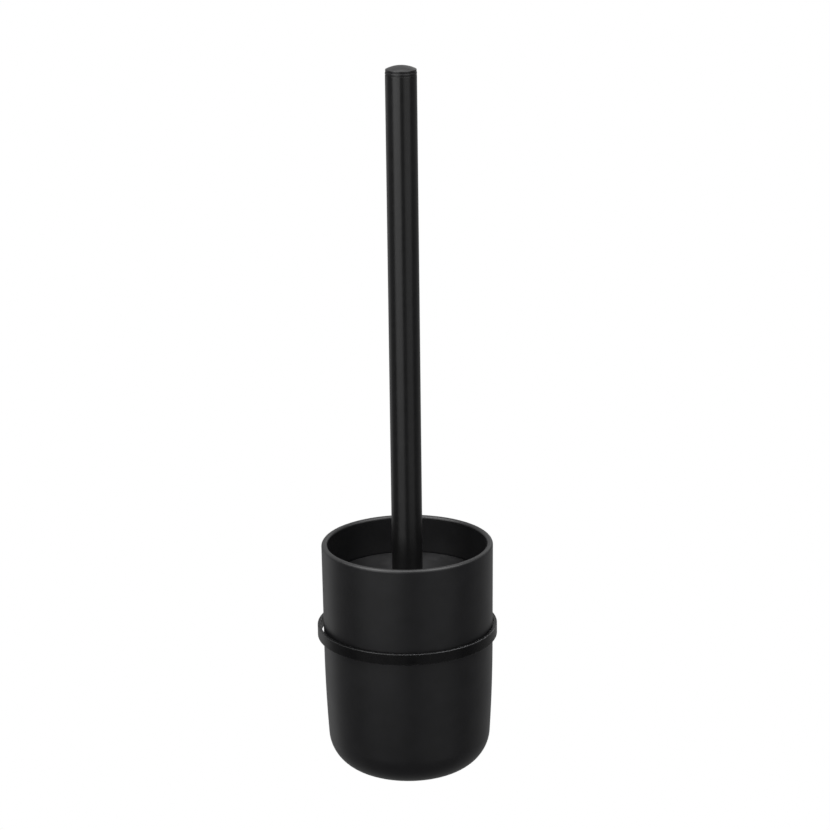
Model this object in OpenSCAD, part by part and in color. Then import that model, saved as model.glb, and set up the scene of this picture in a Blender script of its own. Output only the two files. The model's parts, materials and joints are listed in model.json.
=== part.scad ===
// Wall-hung toilet brush set: a rose on the wall carries a flat ring, a cup hangs in the
// ring by a lug at its back, and a brush with a splash disc stands in the cup.
// The origin is the middle of the wall-side face. +Y points into the wall and +Z up.

/* [Cup] */
// Outer diameter of the cup inside the ring, where its straight side ends
cup_d = 88.9; // [88:0.1:89]
// Outer diameter of the cup at its rim
cup_rim_d = 89.6; // [88.4:0.1:90]
// Height of the cup from underside to rim
cup_h = 123.4; // [118:0.2:140]
// Thickness of the cup's wall and floor
cup_wall = 3.2; // [2.6:0.1:3.3]
// Radius of the rounding between the cup's side and underside
cup_corner_r = 19.2; // [16:0.2:24]
// Radius of the long curve that draws the lower side in
cup_flank_r = 880; // [600:20:1200]
// Drop from the rim to where that curve begins
cup_flank_drop = 50; // [45:1:56]
// How far the hanging cup sits sideways in the ring's play
cup_play_x = 0.45; // [0:0.05:0.5]
// How far the hanging cup sits forwards in the ring's play
cup_play_y = 0.4; // [0:0.05:0.4]

/* [Ring and stem] */
// Distance from the wall to the middle of the ring
ring_reach = 72; // [70:1:80]
// Outer diameter of the support ring
ring_d = 94.4; // [94.4:0.1:96]
// Thickness of the ring's band
ring_t = 1.8; // [1.5:0.1:1.8]
// Height of the ring's band
ring_h = 6; // [5:0.5:8]
// Drop from the cup's rim to the middle of the ring
ring_drop = 47.7; // [44:0.1:54]
// Width of the stem that carries the ring
stem_w = 12; // [10:0.5:13]

/* [Wall mount] */
// Outer diameter of the rose
rose_d = 50; // [48:1:54]
// Depth of the rose
rose_depth = 11; // [10.6:0.2:13]
// Distance between the two screw holes in the wall plate
screw_spacing = 28; // [26:1:29]
// Diameter of those screw holes
screw_hole_d = 4.5; // [4:0.1:5]

/* [Handle] */
// Diameter of the handle tube
handle_d = 16; // [15:0.5:18]
// Wall thickness of the handle tube
handle_wall = 1; // [0.8:0.1:1.2]
// Length of the handle tube
handle_len = 264.9; // [220:0.1:300]

/* [Brush] */
// Diameter of the splash disc
disc_d = 81; // [76:0.5:81]
// Drop from the cup's rim to the top of the splash disc
disc_drop = 20; // [14:0.5:24]
// Diameter of the bristle head
head_d = 73; // [66:1:74]
// Height of the side bristles
side_h = 52; // [44:1:54]
// Diameter of the threaded stud that joins head and handle
stud_d = 8; // [6:1:8]

/* [Hidden] */
$fn = 96;
eps = 0.01;
// How far a cutting shape runs past what it cuts
past = 1;
// Gap between parts of one body that meet on a curve, and radial clearance of a running fit
snug = 0.05;
// Gap between surfaces of different bodies that rest on each other
rest_gap = 0.05;

// Heights in the part's frame
rim_z = ring_drop;
cup_bottom_z = rim_z - cup_h;
floor_z = cup_bottom_z + cup_wall;
disc_z = rim_z - disc_drop;
tube_bottom_z = disc_z + rest_gap;
tube_top_z = tube_bottom_z + handle_len;

// Cup
cup_r = cup_d / 2;
cup_rim_r = cup_rim_d / 2;
rim_outer_round = 1.5;
rim_flat = 0.2;
rim_inner_round = cup_wall - rim_outer_round - rim_flat;
flank_z = rim_z - cup_flank_drop;
corner_z = cup_bottom_z + cup_corner_r;
flank_x = cup_r - cup_flank_r;
flank_angle = asin((flank_z - corner_z) / (cup_flank_r - cup_corner_r));
corner_x = flank_x + (cup_flank_r - cup_corner_r) * cos(flank_angle);
cup_y = -ring_reach - cup_play_y;

// Ring and the lug that hangs on it
ring_r = ring_d / 2;
ring_inner_r = ring_r - ring_t;
band_round = 0.35;
lug_bite = 1.5;
lug_t = 2.8;
lug_gap = 0.6;
lug_slot_gap = 1.5;
lug_lip_drop = 1.5;
lug_root_r = cup_r - lug_bite;
lug_inner_r = ring_r + cup_play_y + lug_gap;
lug_r = lug_inner_r + lug_t;
lug_half_angle = 19;
slot_half_angle = asin((stem_w / 2 + cup_play_x + lug_slot_gap) / lug_inner_r);
lug_rest_z = ring_h / 2 + rest_gap;
lug_lip_z = -ring_h / 2 - lug_lip_drop;
lug_edge_h = 3.5;
lug_gusset_h = 12;

// Rose, wall plate and their screws; depths are distances from the wall
rose_r = rose_d / 2;
rose_wall = 2.7;
rose_face_t = 2;
rose_round = 1.4;
rose_lift = 0.4;
rose_inner_r = rose_r - rose_wall;
pad_t = 1;
pad_inset = 0.9;
pad_r = rose_inner_r - pad_inset;
plate_play = 0.1;
plate_r = rose_inner_r - plate_play;
plate_base_t = 3;
plate_drop = 0.4;
plate_depth = rose_depth - rose_face_t - plate_drop;
plate_rim_t = 3.6;
plate_edge = 0.5;
groove_depth = 0.9;
groove_w = 2.5;
groove_y = pad_t + plate_base_t + (plate_depth - pad_t - plate_base_t) / 2;
screw_head_d = 8.8;
screw_head_seat = 1;
pad_hole_d = 6;
grub_d = 4;
grub_point_d = 2.3;
grub_socket_d = 2.3;
grub_socket_depth = 1.4;
grub_sink = 0.3;
stem_h = ring_h;
stem_end = rose_depth;
stem_round = 1;
stem_screw_d = 5;
stem_screw_len = 10;
stem_screw_play = 0.4;
stem_head_d = 8.5;
stem_head_h = 2.6;
stem_socket_d = 3.46;
stem_socket_depth = 1.7;

// Splash disc and head
disc_r = disc_d / 2;
disc_t = 2.2;
disc_edge_round = 0.6;
skirt_t = 1.6;
skirt_h = 5;
hub_r = 10;
hub_h = 12;
washer_r = 7.6;
washer_t = 1.5;
stud_r = stud_d / 2;
stud_grip = 10;
stud_room = 1;
stud_top_z = tube_bottom_z + stud_grip;
hub_bottom_z = disc_z - hub_h;
insert_len = 12;
insert_wall = 2.2;
insert_r = stud_r + insert_wall;
stud_bottom_z = hub_bottom_z - insert_len;
core_neck_r = 9;
core_neck_h = 7;
core_r = 12;
core_lift = 13;
core_bottom_z = floor_z + core_lift;
core_end_r = 7;
core_shoulder_z = hub_bottom_z - core_neck_h - (core_r - core_neck_r);
head_r = head_d / 2;
side_drop = 1;
side_top_z = core_shoulder_z - side_drop;
side_bottom_z = side_top_z - side_h;
side_round = 5;
end_gap = 0.4;
end_lift = 1;
end_inset = 2.5;
end_top_z = side_bottom_z - end_gap;
end_bottom_z = floor_z + end_lift;
end_top_r = head_r - end_inset;
end_round = 12;

// Handle
handle_r = handle_d / 2;
bore_r = handle_r - handle_wall;
tube_edge = 0.25;
plug_len = 16;
plug_chamfer = 0.8;
cap_plug_len = 9;
cap_flange_h = 1.5;
cap_step = 0.15;
cap_side_r = handle_r - cap_step;
cap_side_h = 1.3;
cap_dome_h = 1.9;
cap_dome_r = (cap_side_r * cap_side_r + cap_dome_h * cap_dome_h) / (2 * cap_dome_h);

// Puts a shape that is drawn around the Z axis on the axis shared by cup and brush.
module on_cup_axis() {
    translate([cup_play_x, cup_y, 0]) children();
}

// Turns a profile of radius and wall distance about the horizontal axis of the wall mount.
module from_wall() {
    rotate([90, 0, 0]) rotate_extrude() children();
}

// A cylinder that runs away from the wall, between two distances from it.
module wall_bore(d, from, to, sides = 0) {
    rotate([90, 0, 0]) translate([0, 0, from])
        cylinder(d = d, h = to - from, $fn = sides > 0 ? sides : $fn);
}

module at_wall_screws() {
    for (side = [-1, 1]) translate([0, 0, side * screw_spacing / 2]) children();
}

// A rectangle from the origin with its corners rounded.
module round_rect(w, h, r) {
    translate([r, 0]) square([w - 2 * r, h]);
    translate([0, r]) square([w, h - 2 * r]);
    for (x = [r, w - r], y = [r, h - r]) translate([x, y]) circle(r = r);
}

// The waste outside a rounding on a section's corner: side is 1 on its right and -1 on its left,
// end is 1 on its upper and -1 on its lower edge.
module edge_waste(x, y, r, side = 1, end = 1) {
    difference() {
        translate([side > 0 ? x - r : x - eps, end > 0 ? y - r : y - eps]) square(r + eps);
        translate([x - side * r, y - end * r]) circle(r = r);
    }
}

// A diamond that takes a chamfer of the given size off a section's corner.
module chamfer(x, y, size) {
    translate([x, y]) rotate(45) square(size * sqrt(2), center = true);
}

// Half of the cup's section, drawn in by inset: straight side, long flank curve, corner, floor.
module cup_outline(inset, top_z) {
    flank_end_z = flank_z - (cup_flank_r - inset) * sin(flank_angle);
    bottom_z = cup_bottom_z + inset;
    polygon([[0, flank_z], [cup_r - inset, flank_z], [cup_rim_r - inset, rim_z],
        [cup_rim_r - inset, top_z], [0, top_z]]);
    intersection() {
        translate([flank_x, flank_z]) circle(r = cup_flank_r - inset);
        translate([0, flank_end_z]) square([cup_r, flank_z - flank_end_z]);
    }
    translate([0, bottom_z]) square([corner_x, flank_end_z - bottom_z]);
    intersection() {
        translate([corner_x, corner_z]) circle(r = cup_corner_r - inset);
        translate([corner_x, bottom_z]) square([cup_corner_r, flank_end_z - bottom_z]);
    }
}

// Section of the hanging lug above the ring, with its sloping gusset.
module lug_section() {
    polygon([[lug_root_r, lug_rest_z], [lug_r, lug_rest_z], [lug_r, lug_rest_z + lug_edge_h],
        [lug_root_r, lug_rest_z + lug_gusset_h]]);
}

// Section of the two lips that drop behind the ring.
module lip_section() {
    translate([lug_inner_r, lug_lip_z])
        square([lug_r - lug_inner_r, lug_rest_z - lug_lip_z + lug_edge_h / 2]);
}

module lug() {
    rotate_extrude(angle = 2 * lug_half_angle, start = 90 - lug_half_angle) lug_section();
    lip_angle = lug_half_angle - slot_half_angle;
    rotate_extrude(angle = lip_angle, start = 90 + slot_half_angle) lip_section();
    rotate_extrude(angle = lip_angle, start = 90 - lug_half_angle) lip_section();
}

// ---- Wall mount ----

module adhesive_pad() {
    color("#3a3a3c") difference() {
        wall_bore(2 * pad_r, 0, pad_t);
        at_wall_screws() wall_bore(pad_hole_d, -eps, pad_t + eps);
    }
}

module wall_plate() {
    recess_r = plate_r - plate_rim_t;
    color("#4a4b4e") difference() {
        from_wall() difference() {
            translate([0, pad_t]) square([plate_r, plate_depth - pad_t]);
            translate([-eps, pad_t + plate_base_t]) square([recess_r + eps, plate_depth]);
            translate([plate_r - groove_depth, groove_y - groove_w / 2])
                square([groove_depth + eps, groove_w]);
            chamfer(plate_r, plate_depth, plate_edge);
        }
        at_wall_screws() {
            wall_bore(screw_hole_d, 0, plate_depth);
            wall_bore(screw_head_d, pad_t + plate_base_t - screw_head_seat, plate_depth);
        }
    }
}

module rose() {
    color("#202124") difference() {
        from_wall() difference() {
            translate([0, rose_lift]) square([rose_r, rose_depth - rose_lift]);
            translate([-eps, rose_lift - eps])
                square([rose_inner_r + eps, rose_depth - rose_face_t - rose_lift + eps]);
            edge_waste(rose_r, rose_depth, rose_round);
        }
        wall_bore(stem_screw_d + stem_screw_play, 0, rose_depth + eps);
        translate([0, -groove_y, -rose_r - eps]) cylinder(d = grub_d, h = rose_wall + past);
    }
}

// Bar between rose and ring, hollowed at its end to the ring's curve and tapped for its screw.
module ring_stem() {
    color("#202124") difference() {
        translate([-stem_w / 2, -stem_end, -stem_h / 2]) rotate([90, 0, 0])
            linear_extrude(ring_reach - stem_end - ring_r + stem_w) round_rect(stem_w, stem_h, stem_round);
        translate([0, -ring_reach, -stem_h]) cylinder(r = ring_r + snug, h = 2 * stem_h, $fn = 180);
        wall_bore(stem_screw_d, rose_depth - eps, rose_depth + stem_screw_len);
    }
}

module stem_screw() {
    seat = rose_depth - rose_face_t;
    socket_end = seat - stem_head_h + stem_socket_depth;
    color("#8d9094") difference() {
        union() {
            wall_bore(stem_head_d, seat - stem_head_h, seat);
            wall_bore(stem_screw_d - 2 * snug, socket_end, seat + stem_screw_len);
        }
        wall_bore(stem_socket_d, seat - stem_head_h - eps, socket_end, 6);
    }
}

// Socket set screw from below, with a dog point that holds the rose in the wall plate's groove.
module grub_screw() {
    tip_z = -plate_r + groove_depth - snug;
    shoulder_z = -plate_r - 2 * snug;
    end_z = -rose_r + grub_sink;
    color("#8d9094") translate([0, -groove_y, 0]) difference() {
        union() {
            translate([0, 0, end_z]) cylinder(r = grub_d / 2 - snug, h = shoulder_z - end_z);
            translate([0, 0, shoulder_z - eps]) cylinder(d = grub_point_d, h = tip_z - shoulder_z + eps);
        }
        translate([0, 0, end_z - eps]) cylinder(d = grub_socket_d, h = grub_socket_depth, $fn = 6);
    }
}

module support_ring() {
    color("#1b1c1e") translate([0, -ring_reach, -ring_h / 2])
        rotate_extrude() translate([ring_inner_r, 0]) round_rect(ring_t, ring_h, band_round);
}

// ---- Cup ----

module cup_shell() {
    color("#1e1f21") on_cup_axis() {
        rotate_extrude() difference() {
            cup_outline(0, rim_z);
            cup_outline(cup_wall, rim_z + eps);
            edge_waste(cup_rim_r, rim_z, rim_outer_round);
            edge_waste(cup_rim_r - cup_wall, rim_z, rim_inner_round, -1);
        }
        lug();
    }
}

// ---- Brush head ----

module splash_disc() {
    color("#26272a") on_cup_axis() rotate_extrude() difference() {
        union() {
            translate([0, disc_z - disc_t]) square([disc_r, disc_t]);
            translate([disc_r - skirt_t, disc_z - skirt_h]) square([skirt_t, skirt_h]);
            translate([0, hub_bottom_z]) square([hub_r, hub_h]);
        }
        translate([-eps, hub_bottom_z - eps]) square([stud_r + 2 * snug + eps, hub_h + past]);
        translate([-eps, disc_z - washer_t]) square([washer_r + 2 * snug + eps, washer_t + eps]);
        edge_waste(disc_r, disc_z, disc_edge_round);
    }
}

module threaded_stud() {
    color("#9a9da1") on_cup_axis() translate([0, 0, stud_bottom_z])
        cylinder(r = stud_r, h = stud_top_z - stud_bottom_z);
}

module core_insert() {
    color("#b08d4a") on_cup_axis() translate([0, 0, stud_bottom_z]) difference() {
        cylinder(r = insert_r, h = insert_len - snug);
        translate([0, 0, -eps]) cylinder(r = stud_r + snug, h = insert_len + past);
    }
}

// Moulded core that carries the tufts, with a neck below the disc's hub and a pocket for its insert.
module head_core() {
    color("#2a2b2d") on_cup_axis() rotate_extrude() difference() {
        polygon([[0, hub_bottom_z - snug], [core_neck_r, hub_bottom_z - snug],
            [core_neck_r, hub_bottom_z - core_neck_h], [core_r, core_shoulder_z],
            [core_r, core_bottom_z + (core_r - core_end_r)], [core_end_r, core_bottom_z],
            [0, core_bottom_z]]);
        translate([-eps, stud_bottom_z - snug]) square([insert_r + snug + eps, insert_len + past]);
    }
}

// Outer shape of the tufts around the core.
module side_bristles() {
    color("#34353a") on_cup_axis() rotate_extrude() difference() {
        translate([core_r + snug, side_bottom_z]) square([head_r - core_r - snug, side_h]);
        edge_waste(head_r, side_top_z, side_round);
    }
}

// Outer shape of the tufts under the core, around its lower end.
module end_bristles() {
    color("#34353a") on_cup_axis() rotate_extrude() difference() {
        translate([0, end_bottom_z]) square([end_top_r, end_top_z - end_bottom_z]);
        translate([-eps, core_bottom_z - snug]) square([core_r + snug + eps, side_h]);
        edge_waste(end_top_r, end_bottom_z, end_round, 1, -1);
    }
}

// ---- Handle ----

module seal_washer() {
    color("#161616") on_cup_axis() translate([0, 0, disc_z - washer_t + rest_gap]) difference() {
        cylinder(r = washer_r, h = washer_t - rest_gap);
        translate([0, 0, -eps]) cylinder(r = stud_r + 2 * snug, h = washer_t + past);
    }
}

module handle_tube() {
    color("#1c1d1f") on_cup_axis() rotate_extrude() difference() {
        translate([bore_r, tube_bottom_z]) square([handle_wall, handle_len]);
        for (z = [tube_bottom_z, tube_top_z]) chamfer(handle_r, z, tube_edge);
    }
}

// Threaded plug fixed in the lower end of the tube.
module handle_insert() {
    color("#9a9da1") on_cup_axis() rotate_extrude() difference() {
        translate([0, tube_bottom_z]) square([bore_r - snug, plug_len]);
        translate([-eps, tube_bottom_z - eps]) square([stud_r + snug + eps, stud_grip + stud_room]);
        chamfer(bore_r - snug, tube_bottom_z + plug_len, plug_chamfer);
    }
}

// Domed cap with a flange on the tube's end and a plug inside it.
module handle_cap() {
    side_z = tube_top_z + cap_flange_h;
    dome_z = side_z + cap_side_h;
    color("#222326") on_cup_axis() rotate_extrude() {
        translate([0, tube_top_z - cap_plug_len]) square([bore_r - snug, cap_plug_len]);
        difference() {
            translate([0, tube_top_z]) square([handle_r, cap_flange_h]);
            for (z = [tube_top_z, side_z]) chamfer(handle_r, z, tube_edge);
        }
        translate([0, side_z]) square([cap_side_r, cap_side_h]);
        intersection() {
            translate([0, dome_z + cap_dome_h - cap_dome_r]) circle(r = cap_dome_r);
            translate([0, dome_z]) square([cap_side_r, cap_dome_h + past]);
        }
    }
}

adhesive_pad();
wall_plate();
rose();
ring_stem();
stem_screw();
grub_screw();
support_ring();
cup_shell();
splash_disc();
threaded_stud();
head_core();
core_insert();
side_bristles();
end_bristles();
seal_washer();
handle_tube();
handle_insert();
handle_cap();
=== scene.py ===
"""Looks of a wall-hung toilet brush set: a cup that hangs in a ring, and a brush with a tube handle."""
import json
import math

import bmesh
import bpy
import numpy as np
from mathutils import Matrix, Vector


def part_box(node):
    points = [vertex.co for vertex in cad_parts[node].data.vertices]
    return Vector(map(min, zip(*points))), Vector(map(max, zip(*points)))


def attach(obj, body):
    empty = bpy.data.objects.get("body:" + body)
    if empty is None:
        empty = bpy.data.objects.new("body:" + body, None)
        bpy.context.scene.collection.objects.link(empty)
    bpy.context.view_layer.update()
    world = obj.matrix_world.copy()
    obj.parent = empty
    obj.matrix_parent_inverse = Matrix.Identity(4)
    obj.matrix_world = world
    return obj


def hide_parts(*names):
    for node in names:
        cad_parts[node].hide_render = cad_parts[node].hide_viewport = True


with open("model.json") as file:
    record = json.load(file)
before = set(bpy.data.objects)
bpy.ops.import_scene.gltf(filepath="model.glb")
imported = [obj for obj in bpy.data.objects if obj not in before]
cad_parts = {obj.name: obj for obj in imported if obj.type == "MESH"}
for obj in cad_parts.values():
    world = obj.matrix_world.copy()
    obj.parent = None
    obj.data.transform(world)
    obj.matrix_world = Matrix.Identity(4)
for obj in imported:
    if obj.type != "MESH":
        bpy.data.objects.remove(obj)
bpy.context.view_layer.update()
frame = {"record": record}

MM = 0.001
BODIES = frame["record"]["behaviour"]["bodies"]
ROUND_STEPS = 192
ARC_STEPS = 6
SEED = 41
BEVEL_SAMPLES = 4
# How like the softened normal is to the true one where an edge's worn and painted-highlight lightening
# starts, and where it is full
WORN_HIGHLIT_STARTS = 0.985
WORN_HIGHLIT_FULL = 0.86
# A gap or an overlap too small to see
SNUG = 0.05 * MM


# ---- Places and sizes ----

def size_of(node):
    low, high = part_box(node)
    return high - low


def middle_of(node):
    low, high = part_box(node)
    return (low + high) / 2


def low_z(node):
    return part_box(node)[0].z


def high_z(node):
    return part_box(node)[1].z


def from_wall(node):
    """The node's nearest and furthest distance from the wall."""
    low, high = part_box(node)
    return -high.y, -low.y


CUP_AXIS = Vector((middle_of("splash_disc").x, middle_of("splash_disc").y, 0))
RING_AXIS = Vector((middle_of("support_ring").x, middle_of("support_ring").y, 0))
RIM_CENTRE = CUP_AXIS + Vector((0, 0, high_z("cup_shell")))

# Cup
CUP_RIM_R = size_of("cup_shell").x / 2
CUP_R = CUP_RIM_R - 0.35 * MM
CUP_WALL = 3.2 * MM
RIM_OUTER_ROUND = 1.5 * MM
RIM_INNER_ROUND = 1.5 * MM
FLANK_R = 880 * MM
FLANK_DROP = 50 * MM
CORNER_R = 19.2 * MM

# Lug on the cup's back, by which it hangs on the ring
LUG_HALF_ANGLE = math.radians(19)
LUG_SLOT_ANGLE = math.radians(9.5)
LUG_THICK = 2.8 * MM
LUG_EDGE_H = 3.5 * MM
LUG_GUSSET_H = 12 * MM
LUG_LIP_DROP = 7.55 * MM
LUG_FILLET = 0.6 * MM
LUG_SOFT_EDGE = 0.45 * MM

# Ring, stem, rose and what is under the rose
BAND_T = 1.8 * MM
BAND_ROUND = 0.35 * MM
STEM_ROUND = 1 * MM
STEM_BORE_R = 2.5 * MM
STEM_BORE_DEPTH = 10 * MM
WELD = 1.2 * MM
ROSE_WALL = 2.7 * MM
ROSE_FACE = 2 * MM
ROSE_ROUND = 1.4 * MM
PLATE_BASE = 3 * MM
PLATE_RIM = 3.6 * MM
GROOVE_DEPTH = 0.9 * MM
GROOVE_W = 2.5 * MM
SCREW_HOLE_R = 2.25 * MM
SCREW_SEAT_R = 4.4 * MM
SCREW_SEAT = 1 * MM
PAD_HOLE_R = 3 * MM
GRUB_HOLE_R = 2 * MM
GRUB_HOLE_CHAMFER = 0.6 * MM
STEM_HOLE_R = 2.7 * MM
STEM_SCREW_SHANK_R = 2.45 * MM
STEM_SCREW_HEAD_H = 2.6 * MM
STEM_SCREW_KEY = 3 * MM
STEM_SCREW_KEY_DEPTH = 1.7 * MM
GRUB_POINT_R = 1.15 * MM
GRUB_POINT_H = 0.95 * MM
GRUB_KEY = 2 * MM
GRUB_KEY_DEPTH = 1.4 * MM

# Brush
DISC_T = 2.2 * MM
SKIRT_T = 1.6 * MM
SKIRT_H = 5 * MM
HUB_R = 10 * MM
HUB_BORE_R = 4.1 * MM
SEAT_R = 7.7 * MM
SEAT_DEPTH = 1.5 * MM
TURNED_STEP = 1.3 * MM
TURNED_DEPTH = 0.035 * MM
FINE_TURNED_STEP = 0.65 * MM
CORE_NECK_R = 9 * MM
CORE_NECK_H = 7 * MM
CORE_R = 12 * MM
CORE_END_R = 7 * MM
THREAD_PITCH = 1.25 * MM
THREAD_DEPTH = 0.55 * MM
NUT_BORE_R = 4.05 * MM
NUT_DEPTH = 11 * MM
KNURL_RIBS = 36
KNURL_DEPTH = 0.35 * MM

# Handle
TUBE_WALL = 1 * MM
CAP_PLUG_INSET = 1.05 * MM
CAP_STEP = 0.15 * MM
CAP_FLANGE_H = 1.5 * MM
CAP_GROOVE = 0.4 * MM
CAP_JOINT = 0.5 * MM
CAP_DOME_H = 1.9 * MM

# Tufts of filaments
FILAMENT_R = 0.2 * MM
FILAMENTS = 30
TUFT_R = 1.7 * MM
SIDE_ROWS = 9
SIDE_TUFTS = 14
SIDE_TOP_ROUND = 5 * MM
END_BOTTOM_ROUND = 12 * MM

# Light
FLOOR_LIGHT = 1.0
ROOM_FRONT = 0.03
ROOM_BACK = 0.3
ROOM_TOP = 0.46
LAMPS = (
    # name, azimuth, elevation, distance, width, height, radiance
    ("key_left", -36, 10, 1.3, 1.3, 0.9, 1.75),
    ("key_left_low", -36, -24, 1.3, 1.3, 0.7, 0.1),
    ("key_high", -38, 45, 1.3, 0.8, 0.8, 1.1),
    ("fill_right", 41, 10, 1.3, 1.1, 0.9, 0.66),
    ("fill_right_low", 41, -24, 1.3, 1.1, 0.7, 0.16),
    ("fill_high", 38, 45, 1.3, 0.8, 0.8, 0.9),
    ("side_left_high", -70, 50, 1.3, 0.8, 0.8, 3.8),
    ("side_right_high", 70, 50, 1.3, 0.8, 0.8, 2.7),
    ("top", 0, 85, 1.2, 1.4, 1.4, 2.2),
    ("rim_left", -130, 0, 1.5, 0.8, 2.2, 0.2),
    ("back_left", -155, 25, 1.5, 0.8, 0.8, 0.1),
    ("back_right", 155, 25, 1.5, 0.8, 0.8, 0.37),
)


# ---- Meshes ----

def new_object(name, mesh):
    piece = bpy.data.objects.new(name, mesh)
    bpy.context.scene.collection.objects.link(piece)
    return piece


def arc(centre, radius, start, end, steps):
    """Points of an arc in a section, between two angles in degrees."""
    angles = [math.radians(a) for a in np.linspace(start, end, steps + 1)]
    return [(centre[0] + radius * math.cos(a), centre[1] + radius * math.sin(a)) for a in angles]


def section(*corners):
    """A section's points from its corners: each is (r, z), or (r, z, radius) where it is rounded."""
    points = []
    for i, corner in enumerate(corners):
        here = Vector(corner[:2])
        if len(corner) == 2:
            points.append(tuple(here))
            continue
        back = (Vector(corners[i - 1][:2]) - here).normalized()
        on = (Vector(corners[(i + 1) % len(corners)][:2]) - here).normalized()
        half = back.angle(on) / 2
        middle = here + (back + on).normalized() * corner[2] / math.sin(half)
        first = here + back * corner[2] / math.tan(half) - middle
        turn = math.pi - 2 * half
        if back.x * on.y - back.y * on.x > 0:
            turn = -turn
        for step in range(ARC_STEPS + 1):
            angle = turn * step / ARC_STEPS
            cos, sin = math.cos(angle), math.sin(angle)
            points.append((middle.x + first.x * cos - first.y * sin,
                           middle.y + first.x * sin + first.y * cos))
    return points


def lathe(name, points, centre=Vector((0, 0, 0)), steps=ROUND_STEPS):
    """Turns a closed section about Z. A point's radius is one number, or one for each step round."""
    mesh = bpy.data.meshes.new(name)
    shape = bmesh.new()
    angles = np.arange(steps) * 2 * math.pi / steps
    cos, sin = np.cos(angles), np.sin(angles)
    loops = []
    for r, z in points:
        if np.ndim(r) == 0 and r < 1e-7:
            loops.append([shape.verts.new((0, 0, z))])
            continue
        radius = np.broadcast_to(r, steps)
        loops.append([shape.verts.new((radius[i] * cos[i], radius[i] * sin[i], z)) for i in range(steps)])
    for one, two in zip(loops, loops[1:] + loops[:1]):
        for i in range(steps if max(len(one), len(two)) > 1 else 0):
            j = (i + 1) % steps
            corners = [one[i % len(one)], two[i % len(two)], two[j % len(two)], one[j % len(one)]]
            shape.faces.new(list(dict.fromkeys(corners)))
    bmesh.ops.recalc_face_normals(shape, faces=shape.faces)
    bmesh.ops.translate(shape, verts=shape.verts, vec=centre)
    shape.to_mesh(mesh)
    shape.free()
    return new_object(name, mesh)


def turn_to_wall(piece):
    """Turns a piece that was made about Z, so that its heights become distances from the wall."""
    piece.data.transform(Matrix.Rotation(math.radians(90), 4, "X"))
    return piece


def sweep(name, points, centre, start, end, edge, steps=24):
    """Turns a closed section about Z between two angles in radians, and chamfers its ends."""
    mesh = bpy.data.meshes.new(name)
    shape = bmesh.new()
    loops = []
    middle = np.mean(points, axis=0)
    reach = np.abs(np.array(points) - middle).max(axis=0)
    small = middle + (np.array(points) - middle) * (1 - edge / reach)
    step_in = edge / max(r for r, z in points)
    angles = [start, *np.linspace(start + step_in, end - step_in, steps + 1), end]
    for i, angle in enumerate(angles):
        outline = small if i in (0, len(angles) - 1) else points
        loops.append([shape.verts.new((r * math.cos(angle), r * math.sin(angle), z)) for r, z in outline])
    count = len(points)
    for one, two in zip(loops, loops[1:]):
        for i in range(count):
            j = (i + 1) % count
            shape.faces.new((one[i], two[i], two[j], one[j]))
    shape.faces.new(loops[0])
    shape.faces.new(list(reversed(loops[-1])))
    bmesh.ops.recalc_face_normals(shape, faces=shape.faces)
    bmesh.ops.translate(shape, verts=shape.verts, vec=centre)
    shape.to_mesh(mesh)
    shape.free()
    return new_object(name, mesh)


def apply_modifiers(piece):
    bpy.context.view_layer.update()
    graph = bpy.context.evaluated_depsgraph_get()
    mesh = bpy.data.meshes.new_from_object(piece.evaluated_get(graph))
    piece.modifiers.clear()
    piece.data = mesh


def drop_slivers(piece):
    """Takes out faces and edges too small to see, which a cut can leave."""
    shape = bmesh.new()
    shape.from_mesh(piece.data)
    bmesh.ops.remove_doubles(shape, verts=shape.verts, dist=1e-7)
    bmesh.ops.dissolve_degenerate(shape, edges=shape.edges, dist=1e-7)
    shape.to_mesh(piece.data)
    shape.free()


def combine(piece, other, operation):
    """Cuts or joins another solid, which is used up."""
    boolean = piece.modifiers.new("boolean", "BOOLEAN")
    boolean.operation = operation
    boolean.solver = "EXACT"
    boolean.object = other
    apply_modifiers(piece)
    drop_slivers(piece)
    bpy.data.objects.remove(other)
    return piece


def finish_surface(piece, sharp=40):
    """Smooth shading with true edges, and flat faces kept flat."""
    piece.data.polygons.foreach_set("use_smooth", [True] * len(piece.data.polygons))
    piece.data.set_sharp_from_angle(angle=math.radians(sharp))
    normals = piece.modifiers.new("normals", "WEIGHTED_NORMAL")
    normals.keep_sharp = True
    apply_modifiers(piece)
    return piece


def thread_rows(radius, low, high, steps, inner=False):
    """Rows of a screw thread from low to high: outside a rod, or inside a bore."""
    rows = []
    turns = np.arange(steps) / steps
    for z in np.arange(low, high, THREAD_PITCH / 10):
        phase = (z / THREAD_PITCH - turns) % 1
        groove = np.clip(1.15 - np.abs(phase * 2 - 1) * 1.6, 0, 1) * THREAD_DEPTH
        rows.append((radius + groove if inner else radius - groove, z))
    return rows


def knurl_rows(radius, depth, ribs, low, high, steps):
    """Rows of a diamond knurl from low to high."""
    rows = []
    turns = np.arange(steps) / steps * ribs
    lean = 2 * math.pi * radius / ribs
    for z in np.linspace(low, high, 28):
        left = np.abs((turns + z / lean) % 1 * 2 - 1)
        right = np.abs((turns - z / lean) % 1 * 2 - 1)
        rows.append((radius - depth * np.minimum(left, right), z))
    return rows


# ---- Materials ----

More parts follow.
